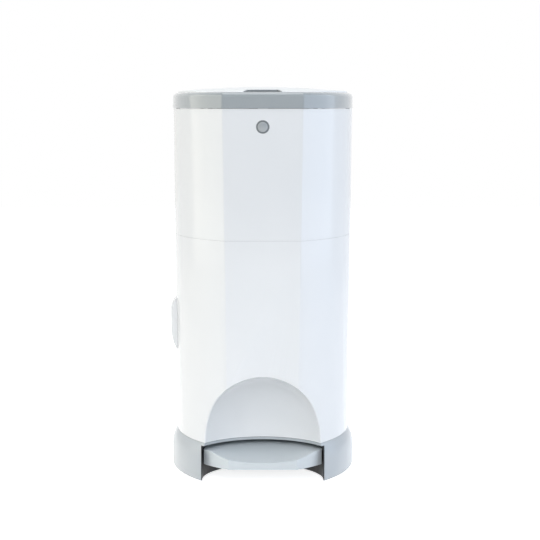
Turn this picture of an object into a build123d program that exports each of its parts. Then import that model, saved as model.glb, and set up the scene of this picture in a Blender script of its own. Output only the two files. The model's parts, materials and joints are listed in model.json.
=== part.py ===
from build123d import *
import os
from math import cos, radians, sin, sqrt

os.makedirs("parts", exist_ok=True)

# Driving sizes, in millimetres. +Z up, the front faces -Y, origin on the floor below the middle.

# body shell
seam_z = 593.0            # where lid and body meet
half_width = 146.5        # body at the seam
half_depth = 155.0
facet_half = 62.0         # half of the flat front facet
widest_y = 12.0           # the body is widest a little behind the middle
wall = 3.0
side_draft = 0.0075       # the sides lean in downwards
front_crease_r = 5.0
rear_crease_r = 20.0
seam_gap = 0.5            # between mouldings that only meet
fine_gap = 0.2            # the door's top seam hardly shows
fit = 0.05                # running and press clearance, radial
bury = 1.0                # how far joined forms run into each other
far = 400.0               # reach of cutting blocks, beyond the bin on every side

# base
skirt_top_z = 61.5
skirt_flare = 9.0
skirt_full_z = 35.0       # the flare is full from here down
skirt_edge_r = 4.0
skirt_lift = 1.0          # skirt's lower edge above the floor
deck_thick = 4.0
alcove_r = 97.0           # room for the pedal
alcove_back = 33.5        # the alcove's axis behind the front facet
lining = 1.5              # dark lining of the alcove
lining_low_z = 2.5
lining_back = 1.0         # the lining ends this far inside the skirt
flank_back = 53.0         # the flanks' front ends are solid up to here
foot_r = 9.0
foot_height = 4.0
foot_wall = 1.5
front_foot = (34.5, 83.0)     # in from the widest side, and from the front
rear_foot = (60.5, 23.0)      # the same, from the rear
axle_boss = 6.0
axle_boss_x = 86.0
axle_boss_half = 8.0
axle_boss_low_z = 22.0

# screws
screw_r = 1.85
screw_head_r = 4.0
screw_head_h = 2.4
screw_bite = 12.0
hole_play = 0.35
small_screw_r = 1.5
small_head_r = 3.2
small_head_h = 2.0

# housing
post_r = 5.0
post_high = 22.0
post_in = 3.5             # posts stand this far inside the wall
post_backs = (95.0, 33.0)     # in front of the rear wall
bracket_r = 5.5
bracket_high = 18.0
bracket_in = 5.0
bracket_front_back = (95.0, 65.0)     # behind the front and in front of the rear wall
ear_high = 17.5

# toe recess in the door
toe_r = 116.5
toe_out = 38.0            # the recess's lowest circle is centred in front of the body
toe_top_z = 176.5
toe_lean = 0.22           # the circles move back as they rise
toe_curve = 1.5
toe_steps = (0.0, 0.3, 0.55, 0.75, 0.88, 0.96, 0.99)

# door
door_top_z = 389.0
door_edge_y = 24.0
hinge_y = 30.0
barrel_r = 5.0
door_swing_gap = 3.2      # room for the door's outer face when it stands open
door_pin_r = 2.0
door_pin_reach = 9.0
door_pin_end = 0.5

# door handle
handle_low_z = 198.0
handle_high_z = 282.5
handle_half = 21.0
handle_proud = 8.0
handle_skin = 2.8
handle_root = 8.0
handle_edge_r = 3.0
handle_lead = 30.0        # the lower ramp
handle_tail = 16.0        # the upper ramp
handle_screw_y = -8.0
handle_screw_r = 1.4
finger_y = 2.0

# door catch, strike and liner cutter
catch_z = 235.0
catch_half = 7.0
catch_thick = 2.2
catch_reach = 10.0        # behind the door's edge
catch_root = 6.0
strike_half = 9.0
strike_thick = 7.7
strike_in = 4.5
bite_gap = 0.3
cutter_half = 30.0
cutter_low_z = 352.0
cutter_high = 22.0
cutter_deep = 12.0
cutter_slot = 3.0
cutter_slot_back = 4.0
cutter_open_x = 22.0
blade_half = 14.0
blade_thick = 0.6

# lid
lid_proud = 1.2
lid_height = 25.0
lid_round = 8.0
lid_crease_r = 8.5
ledge_down = 7.0          # the ledge lies below the lid's top
ledge_thick = 2.5
rim_inset = 8.5
ledge_inset = 13.0
land_back = 23.5          # in front of the rear wall: land behind the flap's barrel
shoulder_back = 36.0      # and beside the barrel
lid_axis_out = 6.0        # the hinge's axis behind the rear wall
knuckle_r = 4.5
knuckle_half = 19.5
knuckle_reach = 34.0
knuckle_gap = 0.3
knuckle_high = 14.0
lid_pin_r = 2.0

# lid inner plate and throat
plate_up = 0.5            # above the seam
plate_thick = 3.0
plate_gap = 0.3
plate_post_r = 4.5
plate_post_in = 7.0       # posts inside the body's outline, below the lid's ledge
plate_post_ends = (19.0, 30.0)    # from the front and from the rear
throat_r = 66.0
slot_half = 20.0
slot_front_back = 77.0    # crank slot, in front of the rear wall
slot_rear_back = 27.0
seal_squeeze = 0.3

# flap
dome_rise = 9.2           # above the lid's top
dome_fall = 8.58          # from the middle to the front
flap_gap = 0.6
flap_skin = 3.0
flap_edge = 4.0
flap_edge_r = 2.0
flap_sink = 4.0           # flap's underside and grip's floor below the lid's top
flap_axis_back = 30.0     # in front of the rear wall
flap_barrel_r = 5.5
flap_barrel_half = 60.0
flap_pin_reach = 8.0
grip_half = 31.0
grip_back = 35.0          # behind the front wall
grip_taper = 6.0
grip_skin = 1.9

# trap door
trap_r = 74.0
trap_thick = 3.5
trap_crown = 2.0
trap_seal_h = 5.6
trap_axis_back = 73.0     # in front of the rear wall
trap_axis_down = 5.5      # below the plate
trap_barrel_r = 5.0
trap_barrel_half = 24.0
trap_lug = 4.0
small_pin_r = 1.5

# push linkage
crank_r = 24.6
crank_angle = 37.5
crank_nose_r = 3.0
crank_half = 3.5
crank_web_half = 1.5      # thinner than the nose, so that only the nose touches
crank_x = 12.0            # flap crank at +x, trap crank at -x
push_gap = 0.5            # open pivots between rod, lever and cranks
rod_back = 17.0           # in front of the rear wall
rod_r = 4.0
rod_end = 3.0
foot_pad_r = 8.0
lever_half = 12.0
lever_thick = 6.0
lever_nose_z = 12.0
lever_nose_r = 6.0
lever_front = 55.0        # behind the front wall
lever_bend = 125.0
lever_foot = 165.0
lever_slot_play = 3.0
lever_screw_r = 1.75
lever_screw_backs = (63.0, 115.0)
head_arm_down = 14.5      # below the trap crank's pad
head_arm_thick = 6.0
head_half = 9.0
head_deep = 12.0
pad_half = 4.0
pad_early = 0.8           # the pads start just before the noses
pad_late = 2.0

# rod guides, collar and spring
guide_z = (150.0, 500.0)
guide_high = 16.0
guide_half = 13.0
guide_screw_x = 9.0
collar_z = 80.0
collar_height = 6.0
collar_r = 10.0
spring_r = 7.0
spring_wire_r = 0.9
spring_turns = 7
spring_play = 1.0

# pedal
pedal_under_z = 26.0
pedal_top_z = 50.0
pedal_gap = 2.0
pedal_inset = 3.0
pedal_axis_back = 90.0    # behind the front wall
pedal_axis_z = 32.0
pedal_corner_r = 3.0
pedal_skin = 4.0
pedal_hollow = 7.0
pedal_rib = 4.0
axle_r = 3.0
axle_half = 91.5
dish_r = 300.0
dish_low_z = 37.0

# top frame and funnel
frame_down = 17.0         # below the seam
frame_thick = 4.0
frame_hole_r = 80.0
frame_gap = 0.3
ring_r = 86.0
ring_wall = 3.0
ring_down = 4.5           # its top lies below the lid's plate
funnel_r = 76.0
funnel_wall = 3.0
funnel_base_z = 510.0
funnel_back = 65.0        # in front of the rear wall
funnel_notch_z = 555.0

# button and latch
button_z = 564.6
button_r = 8.5
button_proud = 3.4
button_dome_r = 16.0
button_gap = 0.35
button_flange = 1.2
button_flange_thick = 1.5
stem_r = 5.0
bezel_r = 10.4
bezel_proud = 0.8
bezel_lip = 0.6
latch_back = 17.0         # behind the front wall
latch_thick = 3.0
latch_half = 12.0
latch_low = 9.0
latch_down = 7.0          # latch's top below the seam
latch_nose = 2.6
latch_nose_high = 5.0
latch_nose_half = 7.0
lid_catch_half = 8.0
lid_catch_back = 8.0
lid_catch_low = 17.0
lid_catch_thick = 4.0
button_spring_r = 5.0
button_wire_r = 0.6
button_spring_long = 8.0
button_turns = 4
bracket_half = 16.0
bracket_gap = 10.0
bracket_thick = 3.0

# derived sizes
side_r = ((half_width - facet_half) ** 2 + (half_depth + widest_y) ** 2) / (
    2 * (half_width - facet_half))
side_x = half_width - side_r          # axis of the right side's curve, the left one mirrors it
skirt_r = side_r - side_draft * (seam_z - skirt_top_z)
deck_z = skirt_top_z - deck_thick
alcove_y = alcove_back - half_depth
flank_y = flank_back - half_depth
door_low_z = skirt_top_z + seam_gap
hinge_x = side_x + sqrt(skirt_r ** 2 - (hinge_y - widest_y) ** 2) - barrel_r
lid_top_z = seam_z + lid_height
ledge_z = lid_top_z - ledge_down
plate_z = seam_z + plate_up
frame_z = seam_z - frame_down
ring_top_z = plate_z - ring_down
dome_top_z = lid_top_z + dome_rise
dome_r = half_depth ** 2 / (2 * dome_fall)
flap_base_z = lid_top_z - flap_sink
lid_axis = (half_depth + lid_axis_out, seam_z)
land_y = half_depth - land_back
shoulder_y = half_depth - shoulder_back
flap_axis_y = half_depth - flap_axis_back
flap_axis_z = dome_top_z - flap_axis_y ** 2 / (2 * dome_r) - flap_barrel_r
trap_axis_y = half_depth - trap_axis_back
trap_axis_z = plate_z - trap_axis_down
trap_top_z = plate_z - plate_gap - trap_seal_h
pedal_axis_y = pedal_axis_back - half_depth
crank_run = crank_r * cos(radians(crank_angle))
crank_drop = crank_r * sin(radians(crank_angle))
flap_pad_z = flap_axis_z - crank_drop - crank_nose_r - push_gap
trap_pad_z = trap_axis_z - crank_drop - crank_nose_r - push_gap
head_arm_z = trap_pad_z - head_arm_down
head_top_z = head_arm_z + head_arm_thick
rod_y = half_depth - rod_back
rod_low_z = lever_nose_z + lever_nose_r + push_gap
lever_screw_ys = [back - half_depth for back in lever_screw_backs]
funnel_rear_y = half_depth - funnel_back
latch_y = latch_back - half_depth
front_wall_y = wall - half_depth      # inner face of the front facet
signs = (-1, 1)


def block(x0, x1, y0, y1, z0, z1):
    return Pos((x0 + x1) / 2, (y0 + y1) / 2, (z0 + z1) / 2) * Box(x1 - x0, y1 - y0, z1 - z0)


def bar_x(r, x0, x1, y, z):
    return Pos((x0 + x1) / 2, y, z) * Rot(0, 90, 0) * Cylinder(r, x1 - x0)


def bar_y(r, x, y0, y1, z):
    return Pos(x, (y0 + y1) / 2, z) * Rot(90, 0, 0) * Cylinder(r, y1 - y0)


def bar_z(r, x, y, z0, z1):
    return Pos(x, y, (z0 + z1) / 2) * Cylinder(r, z1 - z0)


def side_at(y, z, inset=0.0):
    """Half width of the body at depth y and height z."""
    r = side_r - side_draft * (seam_z - z) - inset
    return side_x + sqrt(r * r - (y - widest_y) ** 2)


def soften_creases(form, height, crease, rear_crease):
    """Rounds the upright edges: the front creases and the rear corners."""
    for way, r in ((-1, crease), (1, rear_crease)):
        form = fillet([e for e in form.edges() if e.bounding_box().size.Z > 0.9 * height
                       and way * e.center().Y > half_depth / 2], r)
    return form


def tower(z0, z1, inset=0.0, crease=0.0, rear_crease=0.0):
    """The faceted body form between two heights, moved in by inset."""
    low_r = side_r - side_draft * (seam_z - z0) - inset
    high_r = side_r - side_draft * (seam_z - z1) - inset
    middle = (z0 + z1) / 2
    deep = half_depth - inset
    form = block(-far, far, -deep, deep, z0, z1)
    for x in (side_x, -side_x):
        form &= Pos(x, widest_y, middle) * Cone(low_r, high_r, z1 - z0)
    return soften_creases(form, z1 - z0, crease, rear_crease) if crease > 0 else form


def shell(z0, z1):
    """The body's wall between two heights."""
    outer = tower(z0, z1, 0, front_crease_r, rear_crease_r)
    return outer - tower(z0, z1, wall, front_crease_r - wall, rear_crease_r - wall)


def straight(z0, z1, grow, crease, rear_crease):
    """The lid's form: the body's plan at the seam, moved out by grow, with upright sides."""
    deep = half_depth + grow
    form = block(-far, far, -deep, deep, z0, z1)
    for x in (side_x, -side_x):
        form &= bar_z(side_r + grow, x, widest_y, z0, z1)
    return soften_creases(form, z1 - z0, crease, rear_crease)


def toe_space(extra=0.0):
    """The scooped space over the pedal: leaning circles that shrink to a rounded top."""
    height = toe_top_z - skirt_top_z
    toe_y = -half_depth - toe_out
    circles = []
    for u in toe_steps:
        r = toe_r * sqrt(1 - u ** toe_curve) + extra
        z = skirt_top_z + u * (height + extra)
        circles.append(Pos(0, toe_y + toe_lean * height * u, z) * Circle(r))
    return loft(circles) + bar_z(toe_r + extra, 0, toe_y, deck_z - bury, skirt_top_z)


def skirt(inset=0.0, top=skirt_top_z):
    """The base's flared form, turned about each side's axis and flat at the back."""
    edge = max(skirt_edge_r - inset, 0.5 * bury)
    low = skirt_lift if inset == 0 else 0.0

    def outline(wide):
        with BuildLine() as line:
            Line((0, low), (wide - edge, low))
            RadiusArc((wide - edge, low), (wide, low + edge), -edge)
            Line((wide, low + edge), (wide, skirt_full_z))
            TangentArc((wide, skirt_full_z), (wide - skirt_flare, skirt_top_z), tangent=(0, 1))
            Line((wide - skirt_flare, skirt_top_z), (0, skirt_top_z))
            Line((0, skirt_top_z), (0, low))
        return make_face(line.edges())

    turned = revolve(Plane.XZ * outline(skirt_r + skirt_flare - inset), Axis.Z)
    form = (Pos(side_x, widest_y, 0) * turned) & (Pos(-side_x, widest_y, 0) * turned)
    back = extrude(Plane.YZ * outline(half_depth + skirt_flare - inset), far, both=True)
    front = block(-far, far, inset - half_depth, bury, low - bury, skirt_top_z)
    form &= back + front
    return form & block(-far, far, -far, far, -far, top) if top < skirt_top_z else form


def screw(x, y, z_head, z_tip, r=screw_r, head_r=screw_head_r, head_h=screw_head_h):
    """A pan-head screw along Z with its head at z_head, pointing at z_tip."""
    way = 1 if z_tip > z_head else -1
    ends = sorted((z_head, z_head - way * head_h))
    return bar_z(r, x, y, *sorted((z_head, z_tip))) + bar_z(head_r, x, y, *ends)


def coil(mean_r, wire_r, pitch, turns):
    """A round-wire spring along +Z from the origin."""
    path = Helix(pitch, pitch * turns, mean_r)
    section = Plane(origin=path @ 0, z_dir=path % 0) * RegularPolygon(wire_r, 8)
    return sweep(section, path=path)


def group(pieces):
    return Compound(children=list(pieces))


def foot_spots():
    """The four rubber feet."""
    front = (half_width - front_foot[0], front_foot[1] - half_depth)
    rear = (half_width - rear_foot[0], half_depth - rear_foot[1])
    return [(sign * x, y) for sign in signs for x, y in (front, rear)]


def housing_posts():
    """Screw posts inside the side walls, just above the base's deck."""
    return [(sign * (side_at(y, skirt_top_z, wall) - post_in), y)
            for sign in signs for y in (half_depth - back for back in post_backs)]


def frame_spots():
    """Screw spots of the top frame, close to the body's wall."""
    front, rear = bracket_front_back
    return [(sign * (side_at(y, frame_z, wall) - bracket_in), y)
            for sign in signs for y in (front - half_depth, half_depth - rear)]


def plate_posts():
    """Screw posts of the lid's inner plate, below the lid's ledge."""
    front, rear = plate_post_ends
    return [(sign * side_at(y, seam_z, plate_post_in), y)
            for sign in signs for y in (front - half_depth, widest_y, half_depth - rear)]


def lever_slot():
    """The lever passes through the back of the alcove."""
    back = alcove_y + alcove_r
    half = lever_half + lever_slot_play
    return block(-half, half, back - wall, back + lining + 2 * wall, -bury,
                 pedal_axis_z + 2 * lever_slot_play)


def make_base():
    form = skirt()
    alcove = bar_z(alcove_r + lining, 0, alcove_y, -bury, deck_z)
    hollow = skirt(wall, deck_z) - bar_z(alcove_r + lining + wall, 0, alcove_y, -bury, deck_z)
    hollow -= block(-far, far, -far, flank_y, -far, deck_z)
    for x, y in foot_spots():
        hollow -= bar_z(foot_r + foot_wall, x, y, skirt_lift, deck_z)
    base = form - hollow - alcove - toe_space()
    for x, y in foot_spots():
        base -= bar_z(foot_r, x, y, -bury, foot_height)
    # bosses that carry the pedal's axle outside the alcove's wall
    for x in (-axle_boss_x, axle_boss_x):
        base += block(x - axle_boss, x + axle_boss, pedal_axis_y - axle_boss_half,
                      pedal_axis_y + axle_boss_half, axle_boss_low_z, deck_z) - alcove
    base -= bar_x(axle_r + fit, -axle_half - bury, axle_half + bury, pedal_axis_y, pedal_axis_z)
    base -= lever_slot()
    base -= bar_z(rod_r + bury, 0, rod_y, deck_z - bury, skirt_top_z + bury)
    base -= bar_z(door_pin_r + fit, hinge_x, hinge_y, skirt_top_z - wall, skirt_top_z + bury)
    for x, y in housing_posts():
        base -= bar_z(screw_r + hole_play, x, y, deck_z - bury, skirt_top_z + bury)
    return base


def make_alcove_lining():
    """A dark curved wall behind and beside the pedal."""
    ring = bar_z(alcove_r + lining - fit, 0, alcove_y, lining_low_z, deck_z)
    ring -= bar_z(alcove_r, 0, alcove_y, 0, deck_z + bury)
    ring &= skirt(lining_back, deck_z)
    ring -= bar_x(axle_r + hole_play, -far, far, pedal_axis_y, pedal_axis_z)
    return ring - lever_slot()


def make_rubber_feet():
    return group(bar_z(foot_r - fit, x, y, 0, foot_height) for x, y in foot_spots())


def make_housing():
    body = shell(skirt_top_z, seam_z - seam_gap)
    body -= block(-far, 0, -far, door_edge_y, 0, door_top_z)
    body -= block(-bury, far, -far, hinge_y + barrel_r + door_swing_gap, 0, door_top_z)
    inner = tower(skirt_top_z, seam_z, wall - 0.5 * bury)
    pin_hole = screw_r + fit
    for x, y in housing_posts():
        top = skirt_top_z + post_high
        body += (bar_z(post_r, x, y, skirt_top_z, top) & inner) - bar_z(
            pin_hole, x, y, skirt_top_z, top - wall)
    for x, y in frame_spots():
        low = frame_z - bracket_high
        body += (bar_z(bracket_r, x, y, low, frame_z) & inner) - bar_z(
            pin_hole, x, y, low + wall, frame_z)
    # upper lug that holds the door's top pin
    lug_top = door_top_z + door_pin_reach
    lug = bar_z(barrel_r, hinge_x, hinge_y, door_top_z, lug_top)
    lug += block(hinge_x, hinge_x + 2 * barrel_r, hinge_y - barrel_r, hinge_y + barrel_r,
                 door_top_z, lug_top)
    body += lug & inner
    body -= bar_z(door_pin_r + fit, hinge_x, hinge_y, door_top_z - bury, lug_top - bury)
    body -= bar_y(bezel_r - bezel_lip, 0, -far, latch_y - latch_nose, button_z)
    body += lid_ears()
    return body - bar_x(lid_pin_r + fit, -knuckle_reach - bury, knuckle_reach + bury, *lid_axis)


def lid_ears():
    """The body's two knuckles of the lid's hinge, on ramps behind the rear wall."""
    inner_x = knuckle_half + knuckle_gap
    axis_y, axis_z = lid_axis
    ear = block(inner_x, knuckle_reach, half_depth - bury, axis_y, axis_z - ear_high,
                axis_z - seam_gap)
    ear += bar_x(knuckle_r, inner_x, knuckle_reach, axis_y, axis_z)
    rear = axis_y + knuckle_r
    ramp = Polyline((rear, axis_z - knuckle_r), (half_depth, axis_z - ear_high),
                    (rear, axis_z - ear_high), close=True)
    ear -= extrude(Plane.YZ * make_face(ramp), far, both=True)
    return ear + mirror(ear, Plane.YZ)


def make_housing_screws():
    return group(screw(x, y, deck_z, skirt_top_z + screw_bite) for x, y in housing_posts())


def make_top_frame():
    low, top, high = frame_z - bury, frame_z + frame_thick, ring_top_z + bury
    plate = tower(frame_z, top, wall + frame_gap, 0.5 * wall, rear_crease_r - wall)
    plate += bar_z(ring_r + ring_wall, 0, 0, frame_z, ring_top_z)
    plate -= bar_z(ring_r, 0, 0, top, high)
    plate -= bar_z(frame_hole_r, 0, 0, low, high)
    plate -= block(-frame_hole_r, frame_hole_r, 0, funnel_rear_y + frame_thick, low, high)
    # room for the cranks and for the latch
    crank_room = slot_half + frame_thick
    plate -= block(-crank_room, crank_room, 0, half_depth - 2 * wall - bury, low, high)
    plate -= block(-2 * latch_half, 2 * latch_half, -far, latch_y + latch_half, low, high)
    for x, y in frame_spots():
        plate -= bar_z(screw_r + hole_play, x, y, low, high)
    return plate


def make_frame_screws():
    top = frame_z + frame_thick
    return group(screw(x, y, top, frame_z - screw_bite) for x, y in frame_spots())


def funnel_form(r, rear, z0, z1):
    """Round in front and square behind, where the trap door swings down."""
    return bar_z(r, 0, 0, z0, z1) + block(-r, r, 0, rear, z0, z1)


def make_liner_funnel():
    top = frame_z + frame_thick
    brim = top + funnel_wall
    outer = funnel_r + funnel_wall
    rear = funnel_rear_y
    tube = funnel_form(outer, rear + funnel_wall, funnel_base_z, top)
    tube += bar_z(ring_r - seam_gap, 0, 0, top, brim) & block(-far, far, -far, 0, top, brim)
    tube += block(-outer - seam_gap, outer + seam_gap, 0, rear + funnel_wall, top, brim)
    tube -= funnel_form(funnel_r, rear, funnel_base_z - bury, brim + bury)
    crank_room = slot_half + funnel_wall
    return tube - block(-crank_room, crank_room, rear - wall, rear + 2 * wall, funnel_notch_z,
                        brim + bury)


def make_rod_guide(z):
    guide = block(-guide_half, guide_half, rod_y - head_half, half_depth - wall - 2 * fit, z,
                  z + guide_high)
    guide -= bar_z(rod_r + fit, 0, rod_y, z - bury, z + guide_high + bury)
    for x in (-guide_screw_x, guide_screw_x):
        guide -= bar_y(small_screw_r + 2 * fit, x, 0, half_depth, z + guide_high / 2)
    return guide


def make_guide_screws():
    face_y = rod_y - head_half
    screws = []
    for z in (low + guide_high / 2 for low in guide_z):
        for x in (-guide_screw_x, guide_screw_x):
            shank = bar_y(small_screw_r, x, face_y, half_depth - wall - bite_gap, z)
            screws.append(shank + bar_y(small_head_r, x, face_y - small_head_h, face_y, z))
    return group(screws)


def make_pedal():
    under, high = pedal_under_z, pedal_under_z + pedal_hollow
    plate = tower(under, pedal_top_z, pedal_inset)
    plate &= bar_z(alcove_r - pedal_gap, 0, alcove_y, under, pedal_top_z)
    upright = [e for e in plate.edges() if e.bounding_box().size.Z > 0.8 * (pedal_top_z - under)]
    plate = fillet(upright, pedal_corner_r)
    plate -= Pos(0, pedal_inset - half_depth, dish_low_z + dish_r) * Sphere(dish_r)
    # hollow underside, solid around the axle and the lever
    hollow = tower(under, high, pedal_inset + pedal_skin)
    hollow &= bar_z(alcove_r - pedal_gap - pedal_skin, 0, alcove_y, under, high)
    hollow -= block(-far, far, pedal_axis_y - axle_boss_half, pedal_axis_y + axle_boss_half, 0, far)
    rib = lever_half + pedal_rib
    plate -= hollow - block(-rib, rib, -far, far, 0, far)
    plate -= bar_x(axle_r + fit, -far, far, pedal_axis_y, pedal_axis_z)
    for y in lever_screw_ys:
        plate -= bar_z(lever_screw_r + fit, 0, y, under, high + bury)
    return plate


def make_pedal_lever():
    """Bent down behind the pedal, so that its rounded end lifts the push rod."""
    front, bend, foot = (back - half_depth for back in (lever_front, lever_bend, lever_foot))
    under = pedal_under_z
    low = lever_nose_z - lever_thick / 2
    points = [(front, under), (bend, under), (foot, low + lever_thick), (rod_y, low + lever_thick),
              (rod_y, low), (foot - bury, low), (bend - bury, under - lever_thick),
              (front, under - lever_thick)]
    lever = extrude(Plane.YZ * make_face(Polyline(*points, close=True)), lever_half, both=True)
    lever += bar_x(lever_nose_r, -lever_half, lever_half, rod_y, lever_nose_z)
    for y in lever_screw_ys:
        lever -= bar_z(lever_screw_r + hole_play, 0, y, 0, under + bury)
    return lever


def make_lever_screws():
    head = pedal_under_z - lever_thick
    tip = pedal_under_z + pedal_hollow
    return group(screw(0, y, head, tip, lever_screw_r) for y in lever_screw_ys)


def make_pedal_axle():
    return bar_x(axle_r, -axle_half, axle_half, pedal_axis_y, pedal_axis_z)


def make_push_rod():
    return bar_z(rod_r, 0, rod_y, rod_low_z + rod_end, head_top_z - bury)


def make_rod_foot():
    top = rod_low_z + foot_pad_r
    return bar_z(foot_pad_r, 0, rod_y, rod_low_z, top) - bar_z(
        rod_r, 0, rod_y, rod_low_z + rod_end, top + bury)


def make_rod_collar():
    top = collar_z + collar_height
    return bar_z(collar_r, 0, rod_y, collar_z, top) - bar_z(rod_r, 0, rod_y, 0, top + bury)


def make_rod_spring():
    low = collar_z + collar_height + spring_play
    pitch = (guide_z[0] - low - spring_play) / spring_turns
    return Pos(0, rod_y, low) * coil(spring_r, spring_wire_r, pitch, spring_turns)


def make_rod_head():
    """An arm with a high pad under the flap's crank and a low one under the trap's."""
    low = head_arm_z - head_deep
    reach = crank_x + pad_half
    flap_ends = (flap_axis_y - crank_r - pad_late, flap_axis_y - crank_run + pad_early)
    trap_ends = (trap_axis_y + crank_run - pad_early, trap_axis_y + crank_r + pad_late)
    head = block(-head_half, head_half, rod_y - head_half, rod_y + foot_pad_r, low, head_top_z)
    head += block(-reach, reach, flap_ends[0], rod_y, head_arm_z, head_top_z)
    for x, top, ends in ((crank_x, flap_pad_z, flap_ends), (-crank_x, trap_pad_z, trap_ends)):
        head += block(x - pad_half, x + pad_half, *ends, head_arm_z, top)
    return head - bar_z(rod_r, 0, rod_y, low - bury, head_top_z - bury)


def crank(x, y, z, way, barrel):
    """A crank from a hinge barrel: way -1 reaches to the front, +1 to the rear, both downwards."""
    nose_y, nose_z = y + way * crank_run, z - crank_drop
    arm = bar_x(crank_nose_r, x - crank_half, x + crank_half, nose_y, nose_z)
    arm += Pos(x, (y + nose_y) / 2, (z + nose_z) / 2) * Rot(-crank_angle * way, 0, 0) * Box(
        2 * crank_half, crank_r, 2 * crank_web_half)
    return arm + bar_x(barrel, x - crank_half, x + crank_half, y, z)


def rear_limit(beside, behind):
    """Everything in front of the flap's rear edge, which steps back at the barrel."""
    half = flap_barrel_half + frame_gap
    return block(-far, far, -far, beside, 0, 2 * far) + block(-half, half, 0, behind, 0, 2 * far)


def make_lid():
    high = lid_top_z + bury
    outer = straight(seam_z, lid_top_z, lid_proud, lid_crease_r, rear_crease_r)
    ring = fillet(outer.faces().sort_by(Axis.Z)[-1].edges(), lid_round)
    ring -= straight(seam_z - bury, ledge_z, lid_proud - wall, front_crease_r, rear_crease_r - wall)
    opening = rear_limit(shoulder_y, land_y)
    ring -= opening & straight(ledge_z + ledge_thick, high, lid_proud - rim_inset, wall,
                               rear_crease_r - rim_inset)
    ring -= opening & straight(ledge_z - bury, high, lid_proud - ledge_inset, wall - bury,
                               rear_crease_r - ledge_inset)
    # notches for the body's knuckles, and the lid's own knuckle
    notch = block(knuckle_half - 0.2 * bury, knuckle_reach + seam_gap, half_depth - 2 * bury, far,
                  seam_z - bury, seam_z + knuckle_high / 2)
    ring -= notch + mirror(notch, Plane.YZ)
    ring += block(-knuckle_half, knuckle_half, half_depth + lid_proud - bury, lid_axis[0], seam_z,
                  seam_z + knuckle_high)
    ring += bar_x(knuckle_r, -knuckle_half, knuckle_half, *lid_axis)
    ring -= bar_x(lid_pin_r + fit, -knuckle_reach, knuckle_reach, *lid_axis)
    # the flap's pin sits in the shoulders beside its barrel
    reach = flap_barrel_half + flap_pin_reach + 0.5 * bury
    return ring - bar_x(small_pin_r + fit, -reach, reach, flap_axis_y, flap_axis_z)


def make_lid_inner():
    low, top = plate_z, plate_z + plate_thick
    plate = straight(low, top, lid_proud - wall - plate_gap, front_crease_r, rear_crease_r - wall)
    plate -= bar_z(throat_r, 0, 0, low - bury, top + bury)
    plate -= block(-slot_half, slot_half, half_depth - slot_front_back,
                   half_depth - slot_rear_back, low - bury, top + bury)
    # lugs for the trap's pin
    for sign in signs:
        x = sign * (trap_barrel_half + plate_gap + trap_lug)
        ends = (x - trap_lug, x + trap_lug)
        lug = block(*ends, trap_axis_y - trap_barrel_r, trap_axis_y + trap_barrel_r, trap_axis_z, low)
        lug += bar_x(trap_barrel_r, *ends, trap_axis_y, trap_axis_z)
        plate += lug - bar_x(small_pin_r, ends[0] - bury, ends[1] + bury, trap_axis_y, trap_axis_z)
    # posts up to the lid's ledge
    for x, y in plate_posts():
        plate += bar_z(plate_post_r, x, y, low, ledge_z)
        plate -= bar_z(screw_r + fit, x, y, low - bury, ledge_z + bury)
    return plate


def make_lid_screws():
    return group(screw(x, y, plate_z, ledge_z - bury, screw_r, small_head_r, small_head_h)
                 for x, y in plate_posts())


def make_lid_seal():
    low = ring_top_z + seal_squeeze
    seal = bar_z(ring_r + ring_wall + bury, 0, 0, low, plate_z)
    seal -= bar_z(ring_r - 2 * bury, 0, 0, low - bury, plate_z + bury)
    return seal - block(-frame_hole_r, frame_hole_r, 0, far, low - bury, plate_z + bury)


def make_lid_catch():
    """Hangs from the lid's plate and ends in a shelf in front of the latch's nose."""
    low = plate_z - lid_catch_low
    front = lid_catch_back - half_depth
    catch = block(-lid_catch_half, lid_catch_half, front, front + wall, low, plate_z)
    return catch + block(-lid_catch_half, lid_catch_half, front + wall, latch_y - wall, low,
                         low + lid_catch_thick)


def make_lid_hinge_pin():
    return bar_x(lid_pin_r, -knuckle_reach, knuckle_reach, *lid_axis)


def make_flap():
    grow = lid_proud - rim_inset - flap_gap
    corner = rear_crease_r - rim_inset
    high = dome_top_z + bury
    ball = Pos(0, 0, dome_top_z - dome_r)
    dome = straight(flap_base_z, high, grow, wall - flap_gap, corner)
    dome &= rear_limit(shoulder_y - bury, flap_axis_y)
    dome &= ball * Sphere(dome_r)
    rim = [e for e in dome.faces().sort_by(Axis.Z)[-1].edges() if e.center().Y < flap_axis_y - bury]
    dome = fillet(rim, flap_edge_r)
    inner = straight(flap_base_z - bury, high, grow - flap_edge, bury, wall)
    inner &= block(-far, far, -far, shoulder_y - flap_edge - bury, 0, 2 * far)
    dome -= inner & (ball * Sphere(dome_r - flap_skin))
    # the rear edge runs into the hinge barrel
    half = flap_barrel_half
    dome += bar_x(flap_barrel_r, -half, half, flap_axis_y, flap_axis_z)
    dome += crank(crank_x, flap_axis_y, flap_axis_z, -1, flap_barrel_r)
    dome -= bar_x(small_pin_r + fit, -half - bury, half + bury, flap_axis_y, flap_axis_z)
    return dome - grip_form(0.0)


def grip_form(inset, raised=0.0):
    """The finger notch at the flap's front edge, narrower towards the back."""
    rear = grip_back - half_depth - inset
    wide = grip_half - inset
    points = [(-wide, -half_depth), (wide, -half_depth), (wide - grip_taper, rear),
              (grip_taper - wide, rear)]
    notch = make_face(Polyline(*points, close=True))
    return extrude(Pos(0, 0, flap_base_z + inset) * notch, dome_rise + flap_sink + raised)


def make_finger_grip():
    grow = lid_proud - rim_inset - flap_gap - bury
    cup = grip_form(2 * fit) - grip_form(grip_skin, bury)
    cup &= Pos(0, 0, dome_top_z - dome_r - flap_gap) * Sphere(dome_r)
    return cup & straight(flap_base_z, dome_top_z, grow, 2 * bury, wall)


def make_flap_hinge_pin():
    reach = flap_barrel_half + flap_pin_reach
    return bar_x(small_pin_r, -reach, reach, flap_axis_y, flap_axis_z)


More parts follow.
